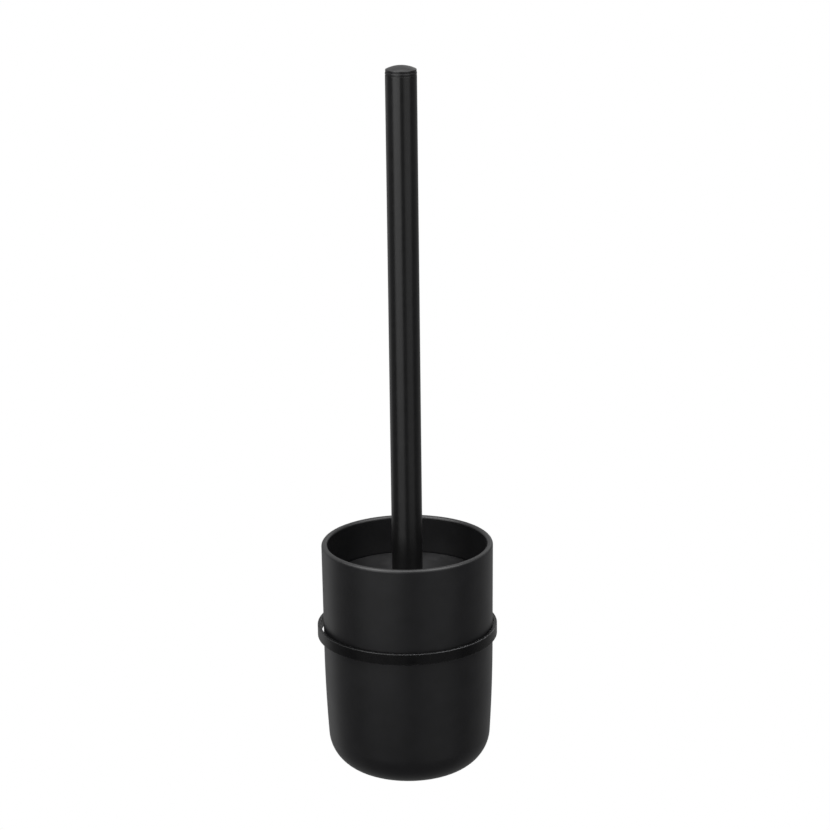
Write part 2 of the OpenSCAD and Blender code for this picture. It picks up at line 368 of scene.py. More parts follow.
class Paint:
    """A material with one Principled shader, and short calls that put texture on it."""

    def __init__(self, name, roughness, metallic=0.0, specular=0.5):
        self.material = bpy.data.materials.new(name)
        self.material.use_nodes = True
        self.nodes = self.material.node_tree.nodes
        self.links = self.material.node_tree.links
        self.shader = self.nodes["Principled BSDF"]
        self.shader.inputs["Metallic"].default_value = metallic
        self.shader.inputs["Roughness"].default_value = roughness
        self.shader.inputs["Specular IOR Level"].default_value = specular
        self.place = self.node("ShaderNodeTexCoord").outputs["Object"]

    def node(self, kind, **settings):
        node = self.nodes.new(kind)
        for name, value in settings.items():
            setattr(node, name, value)
        return node

    def link(self, output, node, name):
        self.links.new(output, node.inputs[name])

    def noise(self, grain, detail=3.0, stretch=(1, 1, 1)):
        """Noise whose features are about one grain across, in metres."""
        mapping = self.node("ShaderNodeMapping")
        mapping.inputs["Scale"].default_value = stretch
        self.link(self.place, mapping, "Vector")
        noise = self.node("ShaderNodeTexNoise")
        noise.inputs["Scale"].default_value = 1 / grain
        noise.inputs["Detail"].default_value = detail
        self.link(mapping.outputs["Vector"], noise, "Vector")
        return noise.outputs["Fac"]

    def colours(self, factor, low, high):
        """Base colour between two colours."""
        ramp = self.node("ShaderNodeValToRGB")
        ramp.color_ramp.elements[0].position = 0.3
        ramp.color_ramp.elements[0].color = (*low, 1)
        ramp.color_ramp.elements[1].position = 0.7
        ramp.color_ramp.elements[1].color = (*high, 1)
        self.link(factor, ramp, "Fac")
        self.link(ramp.outputs["Color"], self.shader, "Base Color")

    def spread(self, value, from_low, from_high, low=0.0, high=1.0):
        """Maps a value from one range to another, and holds it at the ends."""
        node = self.node("ShaderNodeMapRange")
        node.inputs["From Min"].default_value = from_low
        node.inputs["From Max"].default_value = from_high
        node.inputs["To Min"].default_value = low
        node.inputs["To Max"].default_value = high
        self.link(value, node, "Value")
        return node.outputs["Result"]

    def times(self, one, other):
        node = self.node("ShaderNodeMath", operation="MULTIPLY")
        self.link(one, node, 0)
        self.link(other, node, 1)
        return node.outputs["Value"]

    def roughness(self, factor, low, high):
        self.link(self.spread(factor, 0.3, 0.7, low, high), self.shader, "Roughness")

    def bump(self, height, depth, strength=1.0):
        """Adds relief of a depth in metres on top of any that is there."""
        bump = self.node("ShaderNodeBump")
        bump.inputs["Strength"].default_value = strength
        bump.inputs["Distance"].default_value = depth
        self.link(height, bump, "Height")
        normal = self.shader.inputs["Normal"]
        if normal.is_linked:
            self.link(normal.links[0].from_socket, bump, "Normal")
        self.link(bump.outputs["Normal"], self.shader, "Normal")

    def worn_and_highlit_edges(self, reach, colour, strength, below=1.0):
        """Lightens the edges unevenly, partly as handling does and partly as a painted highlight. Reach is
        in metres.

        Below is the share of that lightening on edges that face down; keeping it small makes the lightening
        a painted highlight lit from above.
        """
        bevel = self.node("ShaderNodeBevel", samples=BEVEL_SAMPLES)
        bevel.inputs["Radius"].default_value = reach
        true = self.node("ShaderNodeNewGeometry").outputs["Normal"]
        likeness = self.node("ShaderNodeVectorMath", operation="DOT_PRODUCT")
        self.link(bevel.outputs["Normal"], likeness, 0)
        self.link(true, likeness, 1)
        edge = self.spread(likeness.outputs["Value"], WORN_HIGHLIT_STARTS, WORN_HIGHLIT_FULL, high=strength)
        split = self.node("ShaderNodeSeparateXYZ")
        self.link(true, split, "Vector")
        # Painted highlight: edges that face up are lightened in full, edges that face down only by the
        # share below, as if the light fell from above.
        painted_light_from_above = self.spread(split.outputs["Z"], -0.05, 0.2, low=below)
        patch = self.spread(self.noise(6 * MM, 2), 0.35, 0.6, low=0.6)
        amount = self.times(self.times(edge, painted_light_from_above), patch)
        mix = self.node("ShaderNodeMixRGB")
        base = self.shader.inputs["Base Color"]
        self.link(base.links[0].from_socket, mix, "Color1")
        mix.inputs["Color2"].default_value = (*colour, 1)
        self.link(amount, mix, "Fac")
        self.link(mix.outputs["Color"], self.shader, "Base Color")

    def marks_round(self, amount):
        """Draws highlights out across fine marks that run round the vertical axis."""
        tangent = self.node("ShaderNodeTangent", direction_type="RADIAL", axis="Z")
        self.shader.inputs["Anisotropic"].default_value = amount
        self.shader.inputs["Anisotropic Rotation"].default_value = 0.25
        self.link(tangent.outputs["Tangent"], self.shader, "Tangent")

    def rings(self, centre, step):
        """A wave that goes out from a vertical axis in rings, one step apart."""
        flat = self.node("ShaderNodeVectorMath", operation="MULTIPLY")
        flat.inputs[1].default_value = (1, 1, 0)
        self.link(self.place, flat, 0)
        away = self.node("ShaderNodeVectorMath", operation="DISTANCE")
        away.inputs[1].default_value = (centre.x, centre.y, 0)
        self.link(flat.outputs["Vector"], away, 0)
        turns = self.node("ShaderNodeMath", operation="MULTIPLY")
        turns.inputs[1].default_value = 2 * math.pi / step
        self.link(away.outputs["Value"], turns, 0)
        wave = self.node("ShaderNodeMath", operation="SINE")
        self.link(turns.outputs["Value"], wave, 0)
        return wave.outputs["Value"]


def cup_plastic():
    """Satin moulded plastic with a fine spark-eroded grain."""
    paint = Paint("cup_plastic", 0.37)
    paint.colours(paint.noise(9 * MM), (0.0046, 0.0046, 0.005), (0.006, 0.006, 0.0066))
    paint.roughness(paint.noise(14 * MM, 4), 0.35, 0.39)
    paint.bump(paint.noise(0.35 * MM, 2), 0.008 * MM)
    paint.worn_and_highlit_edges(0.8 * MM, (0.03, 0.03, 0.032), 0.8)
    return paint.material


def powder_coat(name, depth, roughness, specular, worn_highlit_tone, marks=0.0):
    """Satin powder coat: soft orange peel under a fine grain, brighter along its edges, partly rubbed and
    partly a painted highlight on edges that face up.

    Marks is how far the grinding marks of a round tube under the coat draw its highlights out.
    """
    paint = Paint(name, roughness, specular=specular)
    dark = (depth, depth, 1.05 * depth)
    light = (1.35 * depth, 1.35 * depth, 1.42 * depth)
    paint.colours(paint.noise(3 * MM), dark, light)
    paint.roughness(paint.noise(7 * MM, 2), roughness - 0.015, roughness + 0.015)
    paint.bump(paint.noise(1.6 * MM, 1), 0.005 * MM)
    paint.bump(paint.noise(0.4 * MM, 2), 0.0015 * MM)
    # Painted highlight along the edges that face up, with a little rubbing; edges that face down get only
    # 0.15 of it.
    paint.worn_and_highlit_edges(0.5 * MM, (worn_highlit_tone, worn_highlit_tone, 1.05 * worn_highlit_tone), 0.9, below=0.15)
    paint.marks_round(marks)
    return paint.material


def disc_plastic():
    """Plastic with the fine rings that a turned mould leaves."""
    paint = Paint("disc_plastic", 0.36)
    paint.colours(paint.noise(6 * MM), (0.0035, 0.0035, 0.0039), (0.0055, 0.0055, 0.0061))
    paint.roughness(paint.noise(5 * MM, 4), 0.32, 0.4)
    paint.bump(paint.rings(CUP_AXIS, FINE_TURNED_STEP), 0.006 * MM)
    paint.bump(paint.noise(0.35 * MM, 2), 0.006 * MM)
    paint.worn_and_highlit_edges(0.6 * MM, (0.014, 0.014, 0.0152), 0.6)
    paint.marks_round(0.8)
    return paint.material


def core_plastic():
    paint = Paint("core_plastic", 0.5)
    paint.colours(paint.noise(5 * MM), (0.016, 0.016, 0.017), (0.024, 0.024, 0.025))
    paint.roughness(paint.noise(3 * MM), 0.44, 0.56)
    paint.bump(paint.noise(0.5 * MM), 0.02 * MM)
    paint.worn_and_highlit_edges(0.8 * MM, (0.045, 0.045, 0.048), 0.8)
    return paint.material


def plate_plastic():
    """Grey-black moulded plastic with a coarser texture."""
    paint = Paint("plate_plastic", 0.55)
    paint.colours(paint.noise(4 * MM), (0.06, 0.061, 0.064), (0.08, 0.081, 0.085))
    paint.roughness(paint.noise(2 * MM), 0.5, 0.62)
    paint.bump(paint.noise(0.6 * MM), 0.03 * MM)
    paint.worn_and_highlit_edges(0.8 * MM, (0.13, 0.13, 0.135), 0.8)
    return paint.material


def foam_pad():
    """Closed-cell foam with small pores."""
    paint = Paint("foam_pad", 0.85, specular=0.3)
    cells = paint.node("ShaderNodeTexVoronoi")
    cells.inputs["Scale"].default_value = 1 / (0.55 * MM)
    paint.link(paint.place, cells, "Vector")
    # Painted shade: the pits of the cells, pressed in by the bump below, are coloured darker.
    paint.colours(cells.outputs["Distance"], (0.03, 0.03, 0.032), (0.06, 0.06, 0.064))
    paint.roughness(paint.noise(2 * MM), 0.8, 0.92)
    paint.bump(cells.outputs["Distance"], 0.08 * MM)
    paint.worn_and_highlit_edges(0.5 * MM, (0.09, 0.09, 0.092), 0.7)
    return paint.material


def turned_metal(name, low, high, roughness):
    """Bare metal with fine tool marks that run round the vertical axis."""
    paint = Paint(name, roughness, metallic=1.0)
    marks = paint.noise(0.8 * MM, 3, stretch=(0.15, 0.15, 4))
    paint.colours(marks, low, high)
    paint.roughness(marks, roughness - 0.06, roughness + 0.08)
    paint.bump(marks, 0.006 * MM)
    paint.worn_and_highlit_edges(0.3 * MM, tuple(min(1.25 * channel, 0.95) for channel in high), 0.8)
    return paint.material


def washer_rubber():
    paint = Paint("washer_rubber", 0.7, specular=0.35)
    paint.colours(paint.noise(2 * MM), (0.012, 0.012, 0.012), (0.019, 0.019, 0.019))
    paint.roughness(paint.noise(1 * MM), 0.62, 0.78)
    paint.bump(paint.noise(0.4 * MM), 0.015 * MM)
    paint.worn_and_highlit_edges(0.4 * MM, (0.035, 0.034, 0.033), 0.8)
    return paint.material


def cap_plastic():
    """Smoother plastic of the handle's cap."""
    paint = Paint("cap_plastic", 0.34, specular=0.42)
    paint.colours(paint.noise(5 * MM), (0.006, 0.006, 0.0064), (0.008, 0.008, 0.0086))
    paint.roughness(paint.noise(4 * MM, 2), 0.32, 0.36)
    paint.bump(paint.noise(0.5 * MM, 2), 0.006 * MM)
    paint.worn_and_highlit_edges(0.3 * MM, (0.013, 0.013, 0.014), 0.8)
    return paint.material


def bristle_plastic():
    """Polypropylene filaments, each a little different."""
    paint = Paint("bristles", 0.4)
    islands = paint.node("ShaderNodeNewGeometry").outputs["Random Per Island"]
    paint.colours(islands, (0.013, 0.013, 0.0145), (0.032, 0.032, 0.035))
    paint.roughness(paint.noise(2 * MM), 0.34, 0.46)
    paint.bump(paint.noise(0.3 * MM), 0.01 * MM)
    return paint.material


MATERIALS = {
    "foam_pad": foam_pad(),
    "plate_plastic": plate_plastic(),
    # Its edge tone of 0.24, a hundred times its depth, is mostly a painted highlight, such as the bright
    # line along the top edge of the ring.
    "black_metal": powder_coat("black_metal", 0.0024, 0.27, 0.25, 0.24),
    "screw_steel": turned_metal("screw_steel", (0.46, 0.47, 0.48), (0.6, 0.61, 0.62), 0.3),
    "cup_plastic": cup_plastic(),
    "disc_plastic": disc_plastic(),
    "core_plastic": core_plastic(),
    "insert_brass": turned_metal("insert_brass", (0.5, 0.35, 0.13), (0.68, 0.49, 0.2), 0.28),
    "bristles": bristle_plastic(),
    "washer_rubber": washer_rubber(),
    "handle_metal": powder_coat("handle_metal", 0.0036, 0.32, 0.46, 0.02, marks=0.7),
    "insert_aluminium": turned_metal("insert_aluminium", (0.56, 0.57, 0.58), (0.72, 0.73, 0.74), 0.32),
    "cap_plastic": cap_plastic(),
}
SLOT_OF = {part["node"]: part["material_slot"] for part in frame["record"]["subparts"]}
BODY_OF = {node: body for body, nodes in BODIES.items() for node in nodes}


def stand_for(piece, node):
    """Gives a piece the material, the slot and the body of the CAD node that it stands for."""
    piece.data.materials.clear()
    piece.data.materials.append(MATERIALS[SLOT_OF[node]])
    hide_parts(node)
    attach(piece, BODY_OF[node])
    return piece


# ---- Wall mount ----

def wall_cylinder(radius, start, end, height=0.0):
    """A cutter along the wall's normal, between two distances from the wall, at a height."""
    points = [(0, start), (radius, start), (radius, end), (0, end)]
    cutter = turn_to_wall(lathe("cutter", points, steps=64))
    cutter.data.transform(Matrix.Translation((0, 0, height)))
    return cutter


def screw_heights():
    """Heights of the two wall screws, from the record's bolt pattern."""
    pattern = next(m for m in frame["record"]["mounts"] if m["kind"] == "bolt_pattern")
    spacing = pattern["dims"]["spacing_y_mm"] * MM
    return -spacing / 2, spacing / 2


def build_pad():
    near, far = from_wall("adhesive_pad")
    radius = size_of("adhesive_pad").x / 2
    edge = 0.25 * MM
    points = section((0, near), (radius, near, edge), (radius, far, edge), (0, far))
    pad = turn_to_wall(lathe("foam_pad", points))
    for height in screw_heights():
        combine(pad, wall_cylinder(PAD_HOLE_R, near - MM, far + MM, height), "DIFFERENCE")
    finish_surface(pad)
    stand_for(pad, "adhesive_pad")


def build_plate():
    near, far = from_wall("wall_plate")
    radius = size_of("wall_plate").x / 2
    floor = near + PLATE_BASE
    groove_near = (floor + far - GROOVE_W) / 2
    groove_far = groove_near + GROOVE_W
    groove_r = radius - GROOVE_DEPTH
    edge = 0.3 * MM
    points = section(
        (0, near), (radius, near, edge), (radius, groove_near), (groove_r, groove_near),
        (groove_r, groove_far), (radius, groove_far), (radius, far, 0.5 * MM),
        (radius - PLATE_RIM, far, edge), (radius - PLATE_RIM, floor, 0.15 * MM), (0, floor))
    plate = turn_to_wall(lathe("wall_plate_moulding", points))
    for height in screw_heights():
        combine(plate, wall_cylinder(SCREW_HOLE_R, near - MM, far + MM, height), "DIFFERENCE")
        combine(plate, wall_cylinder(SCREW_SEAT_R, floor - SCREW_SEAT, far + MM, height), "DIFFERENCE")
    stand_for(finish_surface(plate), "wall_plate")


def build_rose():
    near, far = from_wall("rose")
    radius = size_of("rose").x / 2
    inner = radius - ROSE_WALL
    points = section(
        (STEM_HOLE_R, far), (radius, far, ROSE_ROUND), (radius, near, 0.25 * MM), (inner, near, 0.25 * MM),
        (inner, far - ROSE_FACE, 0.8 * MM), (STEM_HOLE_R, far - ROSE_FACE))
    rose = turn_to_wall(lathe("rose_cover", points))
    grub = middle_of("grub_screw")
    mouth_r = GRUB_HOLE_R + GRUB_HOLE_CHAMFER
    cut = [(0, -radius - MM), (mouth_r, -radius - MM), (mouth_r, -radius),
           (GRUB_HOLE_R, -radius + GRUB_HOLE_CHAMFER), (GRUB_HOLE_R, -inner + MM), (0, -inner + MM)]
    hole = lathe("cutter", cut, Vector((grub.x, grub.y, 0)), steps=64)
    combine(rose, hole, "DIFFERENCE")
    stand_for(finish_surface(rose), "rose")


def hex_cutter(across, low, high, centre):
    """A hexagon key's shape, by its width across flats."""
    radius = across / math.sqrt(3)
    return lathe("cutter", [(0, low), (radius, low), (radius, high), (0, high)], centre, steps=6)


def build_stem_screw():
    near, far = from_wall("stem_screw")
    head_r = size_of("stem_screw").x / 2
    neck = near + STEM_SCREW_HEAD_H
    shank_r = STEM_SCREW_SHANK_R
    steps = 72
    head = section((0, near), (head_r, near, 0.35 * MM), (head_r, neck, 0.15 * MM), (shank_r, neck))
    points = head[:-1] + thread_rows(shank_r, neck, far - 0.4 * MM, steps)
    points += [(shank_r - 0.5 * MM, far), (0, far)]
    screw = lathe("stem_screw_m5", points, steps=steps)
    key = hex_cutter(STEM_SCREW_KEY, near - MM, near + STEM_SCREW_KEY_DEPTH, Vector((0, 0, 0)))
    combine(screw, key, "DIFFERENCE")
    turn_to_wall(screw)
    stand_for(finish_surface(screw, 30), "stem_screw")


def build_grub_screw():
    low, high = low_z("grub_screw"), high_z("grub_screw")
    radius = size_of("grub_screw").x / 2
    point_low = high - GRUB_POINT_H
    steps = 60
    rows = thread_rows(radius, low + 0.25 * MM, point_low - 0.1 * MM, steps)
    points = [(0, low), (radius - 0.3 * MM, low), *rows, (radius - 0.4 * MM, point_low),
              *section((GRUB_POINT_R, point_low), (GRUB_POINT_R, high, 0.2 * MM), (0, high))]
    centre = Vector((middle_of("grub_screw").x, middle_of("grub_screw").y, 0))
    screw = lathe("grub_screw_m4", points, centre, steps)
    combine(screw, hex_cutter(GRUB_KEY, low - MM, low + GRUB_KEY_DEPTH, centre), "DIFFERENCE")
    stand_for(finish_surface(screw, 30), "grub_screw")


def build_ring():
    low, high = low_z("support_ring"), high_z("support_ring")
    outer = size_of("support_ring").x / 2
    inner = outer - BAND_T
    points = section((outer, low, BAND_ROUND), (outer, high, BAND_ROUND),
                     (inner, high, BAND_ROUND), (inner, low, BAND_ROUND))
    stand_for(finish_surface(lathe("support_band", points, RING_AXIS, steps=256)), "support_ring")


def build_stem():
    """A rounded bar from the rose to the ring, with a weld that spreads against the ring."""
    half_w = size_of("ring_stem").x / 2
    half_h = size_of("ring_stem").z / 2
    near = from_wall("ring_stem")[0]
    ring_r = size_of("support_ring").x / 2
    outline = section((half_w, half_h, STEM_ROUND), (-half_w, half_h, STEM_ROUND),
                      (-half_w, -half_h, STEM_ROUND), (half_w, -half_h, STEM_ROUND))
    chamfer = 0.25 * MM
    straight = ((0, chamfer), (chamfer, 0), (4 * MM, 0), (8 * MM, 0))
    shape = bmesh.new()
    loops = []
    for away, inset in straight:
        loops.append([shape.verts.new((x * (1 - inset / half_w), -near - away, z * (1 - inset / half_h)))
                      for x, z in outline])
    for turn in np.linspace(0, math.pi / 2, 9):
        spread = WELD * (1 - math.cos(turn))
        gap = WELD * (1 - math.sin(turn))
        loop = []
        for x, z in outline:
            x *= 1 + spread / half_w
            on_ring = RING_AXIS.y + math.sqrt(ring_r ** 2 - x ** 2)
            loop.append(shape.verts.new((x, on_ring + gap, z)))
        loops.append(loop)
    for one, two in zip(loops, loops[1:]):
        for i in range(len(outline)):
            j = (i + 1) % len(outline)
            shape.faces.new((one[i], one[j], two[j], two[i]))
    shape.faces.new(loops[0])
    shape.faces.new(loops[-1])
    bmesh.ops.triangulate(shape, faces=shape.faces[-1:])
    bmesh.ops.recalc_face_normals(shape, faces=shape.faces)
    mesh = bpy.data.meshes.new("stem_bar")
    shape.to_mesh(mesh)
    shape.free()
    stem = new_object("stem_bar", mesh)
    combine(stem, wall_cylinder(STEM_BORE_R, near - MM, near + STEM_BORE_DEPTH), "DIFFERENCE")
    stand_for(finish_surface(stem), "ring_stem")


# ---- Cup ----

def cup_side(inset):
    """The cup's side from its underside to the end of its long curve, drawn in by inset."""
    bottom = low_z("cup_shell")
    corner_z = bottom + CORNER_R
    flank_z = high_z("cup_shell") - FLANK_DROP
    angle = math.degrees(math.asin((flank_z - corner_z) / (FLANK_R - CORNER_R)))
    flank_x = CUP_R - FLANK_R
    corner_x = flank_x + (FLANK_R - CORNER_R) * math.cos(math.radians(angle))
    corner = arc((corner_x, corner_z), CORNER_R - inset, -90, -angle, 30)
    return corner + arc((flank_x, flank_z), FLANK_R - inset, -angle, 0, 12)[1:]


def build_lug():
    """The lug: a gusseted ledge that rests on the ring, and two lips behind it with a slot for the stem."""
    back = math.pi / 2
    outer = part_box("cup_shell")[1].y - CUP_AXIS.y
    inner = outer - LUG_THICK
    root = CUP_R - 1.5 * MM
    rest = high_z("support_ring") + SNUG
    wall = CUP_R - SNUG
    under = arc((wall + LUG_FILLET, rest - LUG_FILLET), LUG_FILLET, 180, 90, 5)
    ledge = section((root, rest - LUG_FILLET), *under, (outer, rest, LUG_SOFT_EDGE),
                    (outer, rest + LUG_EDGE_H, LUG_SOFT_EDGE), (root, rest + LUG_GUSSET_H))
    lug = sweep("lug", ledge, CUP_AXIS, back - LUG_HALF_ANGLE, back + LUG_HALF_ANGLE, LUG_SOFT_EDGE)
    lip_low = rest - LUG_LIP_DROP
    lip_top = rest + LUG_EDGE_H / 2
    lip_outer = outer - 0.02 * MM
    lip = section((inner, lip_low, LUG_SOFT_EDGE), (lip_outer, lip_low, LUG_SOFT_EDGE),
                  (lip_outer, lip_top), (inner, lip_top))
    lip_out = LUG_HALF_ANGLE - math.radians(0.05)
    for start, end in ((back - lip_out, back - LUG_SLOT_ANGLE), (back + LUG_SLOT_ANGLE, back + lip_out)):
        combine(lug, sweep("lip", lip, CUP_AXIS, start, end, LUG_SOFT_EDGE, 10), "UNION")
    return lug


def build_cup():
    top = high_z("cup_shell")
    rim = section((CUP_R, top - FLANK_DROP), (CUP_RIM_R, top, RIM_OUTER_ROUND),
                  (CUP_RIM_R - CUP_WALL, top, RIM_INNER_ROUND), (CUP_R - CUP_WALL, top - FLANK_DROP))
    outside = cup_side(0)
    inside = list(reversed(cup_side(CUP_WALL)))
    points = [(0, outside[0][1]), *outside[:-1], *rim, *inside[1:], (0, inside[-1][1])]
    cup = lathe("cup", points, CUP_AXIS, steps=256)
    combine(cup, build_lug(), "UNION")
    stand_for(finish_surface(cup, 50), "cup_shell")


# ---- Brush head ----

def build_disc():
    top = high_z("splash_disc")
    bottom = low_z("splash_disc")
    radius = size_of("splash_disc").x / 2
    turned = []
    for r in np.arange(SEAT_R + 0.6 * MM, radius - 1.2 * MM, TURNED_STEP / 10):
        turned.append((r, top - TURNED_DEPTH * (0.5 - 0.5 * math.cos(2 * math.pi * r / TURNED_STEP))))
    skirt_r = radius - SKIRT_T
    edge = section((radius - 1.1 * MM, top), (radius, top, 0.6 * MM), (radius, top - SKIRT_H, 0.3 * MM),
                   (skirt_r, top - SKIRT_H, 0.3 * MM), (skirt_r, top - DISC_T, 0.8 * MM),
                   (HUB_R, top - DISC_T, 1.2 * MM), (HUB_R, bottom, 0.4 * MM),
                   (HUB_BORE_R, bottom, 0.2 * MM), (HUB_BORE_R, top - SEAT_DEPTH),
                   (SEAT_R, top - SEAT_DEPTH), (SEAT_R, top, 0.2 * MM))
    disc = lathe("splash_plate", turned + edge, CUP_AXIS)
    stand_for(finish_surface(disc), "splash_disc")


def build_stud():
    low, high = low_z("threaded_stud"), high_z("threaded_stud")
    radius = size_of("threaded_stud").x / 2
    steps = 72
    chamfer = 0.6 * MM
    rows = thread_rows(radius, low + chamfer, high - chamfer, steps)
    points = [(0, low), (radius - chamfer, low), *rows, (radius - chamfer, high), (0, high)]
    stand_for(finish_surface(lathe("stud", points, CUP_AXIS, steps), 30), "threaded_stud")


def build_core_insert():
    low, high = low_z("core_insert"), high_z("core_insert")
    radius = size_of("core_insert").x / 2
    bore = NUT_BORE_R
    steps = 144
    groove = 0.7 * MM
    middle = (low + high) / 2
    outside = [(radius - 0.4 * MM, low), (radius - 0.4 * MM, low + 0.4 * MM)]
    for start, end in ((low + 0.5 * MM, middle - groove), (middle + groove, high - 0.5 * MM)):
        knurl = knurl_rows(radius, KNURL_DEPTH, KNURL_RIBS, start, end, steps)
        outside += [(radius - 0.5 * MM, start - SNUG), *knurl, (radius - 0.5 * MM, end + SNUG)]
    outside += [(radius - 0.4 * MM, high - 0.3 * MM), (radius - 0.4 * MM, high)]
    inside = list(reversed(thread_rows(bore, low + 0.3 * MM, high - 0.3 * MM, steps, inner=True)))
    points = outside + [(bore + 0.5 * MM, high), *inside, (bore + 0.5 * MM, low)]
    stand_for(finish_surface(lathe("brass_insert", points, CUP_AXIS, steps), 30), "core_insert")


def build_core():
    low, high = low_z("head_core"), high_z("head_core")
    neck_low = high - CORE_NECK_H
    shoulder = neck_low - (CORE_R - CORE_NECK_R)
    pocket_low = low_z("core_insert") - SNUG
    pocket_r = size_of("core_insert").x / 2 + SNUG
    points = section(
        (pocket_r, high), (CORE_NECK_R, high, 0.4 * MM), (CORE_NECK_R, neck_low, 0.8 * MM),
        (CORE_R, shoulder, 0.8 * MM), (CORE_R, low + CORE_R - CORE_END_R, 1.2 * MM),
        (CORE_END_R, low, 1 * MM), (0, low), (0, pocket_low), (pocket_r, pocket_low))
    stand_for(finish_surface(lathe("brush_core", points, CUP_AXIS)), "head_core")


def outer_radius(z, radius, top, bottom, top_round, bottom_round):
    """How far out the trimmed tufts reach at each height."""
    above = np.clip(z - (top - top_round), 0, top_round)
    below = np.clip((bottom + bottom_round) - z, 0, bottom_round)
    over = top_round - np.sqrt(np.maximum(top_round ** 2 - above ** 2, 0))
    under = bottom_round - np.sqrt(np.maximum(bottom_round ** 2 - below ** 2, 0))
    return radius - over - under


def filaments(name, roots, directions, spreads, shape, rng):
    """Tufts whose filaments fan out to the trimmed shape. Their roots are given about the cup's axis."""
    top, bottom = shape[1:3]
    sides, rings = 5, 4
    n = np.arange(FILAMENTS)
    disc_r = np.sqrt((n + 0.5) / FILAMENTS)
    disc_a = n * math.radians(137.508)
    u, v = disc_r * np.cos(disc_a), disc_r * np.sin(disc_a)
    radial = np.array(directions)[:, None, :]
    up = np.where(np.abs(radial[..., 2:3]) < 0.9, np.array([0.0, 0, 1]), np.array([1.0, 0, 0]))
    across = np.cross(up, radial)
    across /= np.linalg.norm(across, axis=-1, keepdims=True)
    along = np.cross(radial, across)
    spread = np.array(spreads)[:, None, :]
    jitter = rng.normal(0, 0.07, (len(roots), FILAMENTS, 2))
    fan_u = (u[None, :] + jitter[..., 0])[..., None] * spread[..., 0:1]
    fan_v = (v[None, :] + jitter[..., 1])[..., None] * spread[..., 1:2]
    start = np.array(roots)[:, None, :] + TUFT_R * (u[None, :, None] * across + v[None, :, None] * along)
    way = radial + fan_u * across + fan_v * along
    way /= np.linalg.norm(way, axis=-1, keepdims=True)
    start, way = start.reshape(-1, 3), way.reshape(-1, 3)

    near, far = np.zeros(len(start)), np.full(len(start), 60 * MM)
    for _ in range(30):
        middle = (near + far) / 2
        end = start + way * middle[:, None]
        clear = outer_radius(end[:, 2], *shape) - np.hypot(end[:, 0], end[:, 1])
        height = end[:, 2]
        inside = (clear > FILAMENT_R) & (height < top - FILAMENT_R) & (height > bottom + FILAMENT_R)
        near, far = np.where(inside, middle, near), np.where(inside, far, middle)
    length = near - rng.uniform(0, 0.5 * MM, len(near))
    bend_way = rng.normal(0, 1, (len(start), 3))
    bend_way -= (bend_way * way).sum(1)[:, None] * way
    bend = bend_way * (length * 0.018)[:, None]

    side_a = np.cross(way, np.array([0.3, 0.2, 0.93]))
    side_a /= np.linalg.norm(side_a, axis=1)[:, None]
    side_b = np.cross(way, side_a)
    turn = np.arange(sides) * 2 * math.pi / sides
    verts = []
    for ring in range(rings):
        s = ring / (rings - 1)
        bow = 4 * s * (1 - s)
        middle = start + way * (length * s)[:, None] + bend * bow
        radius = FILAMENT_R * (1 - 0.25 * s)
        verts.append(middle[:, None, :] + radius * (np.cos(turn)[None, :, None] * side_a[:, None, :]
                                                    + np.sin(turn)[None, :, None] * side_b[:, None, :]))
    verts = np.stack(verts, 1).reshape(-1, 3) + np.array(CUP_AXIS)
    faces = []
    for f in range(len(start)):
        first = f * rings * sides
        for ring in range(rings - 1):
            for i in range(sides):
                j = (i + 1) % sides
                a, b = first + ring * sides, first + (ring + 1) * sides
                faces.append((a + i, a + j, b + j, b + i))
        faces.append([first + i for i in reversed(range(sides))])
        faces.append([first + (rings - 1) * sides + i for i in range(sides)])
    mesh = bpy.data.meshes.new(name)
    mesh.from_pydata(verts.tolist(), [], faces)
    piece = new_object(name, mesh)
    shape_mesh = bmesh.new()
    shape_mesh.from_mesh(mesh)
    bmesh.ops.recalc_face_normals(shape_mesh, faces=shape_mesh.faces)
    shape_mesh.to_mesh(mesh)
    shape_mesh.free()
    mesh.polygons.foreach_set("use_smooth", [True] * len(mesh.polygons))
    mesh.set_sharp_from_angle(angle=math.radians(80))
    return piece


def outward(angle, lean=0.0):
    """A direction away from the axis, leaning down by an angle."""
    return (math.cos(angle) * math.cos(lean), math.sin(angle) * math.cos(lean), -math.sin(lean))


def build_side_bristles(rng):
    low, high = low_z("side_bristles"), high_z("side_bristles")
    radius = size_of("side_bristles").x / 2
    half_row = (high - low) / SIDE_ROWS / 2
    reach = radius - CORE_R
    spread = (math.pi / SIDE_TUFTS * radius / reach, 1.15 * half_row / reach)
    roots, directions, spreads = [], [], []
    for row in range(SIDE_ROWS):
        z = high - half_row - row * 2 * half_row
        for tuft in range(SIDE_TUFTS):
            angle = (tuft + row % 2 / 2) * 2 * math.pi / SIDE_TUFTS
            roots.append(((CORE_R - MM) * math.cos(angle), (CORE_R - MM) * math.sin(angle), z))
            directions.append(outward(angle))
            spreads.append(spread)
    shape = (radius, high, low, SIDE_TOP_ROUND, 0.5 * MM)
    stand_for(filaments("side_tufts", roots, directions, spreads, shape, rng), "side_bristles")


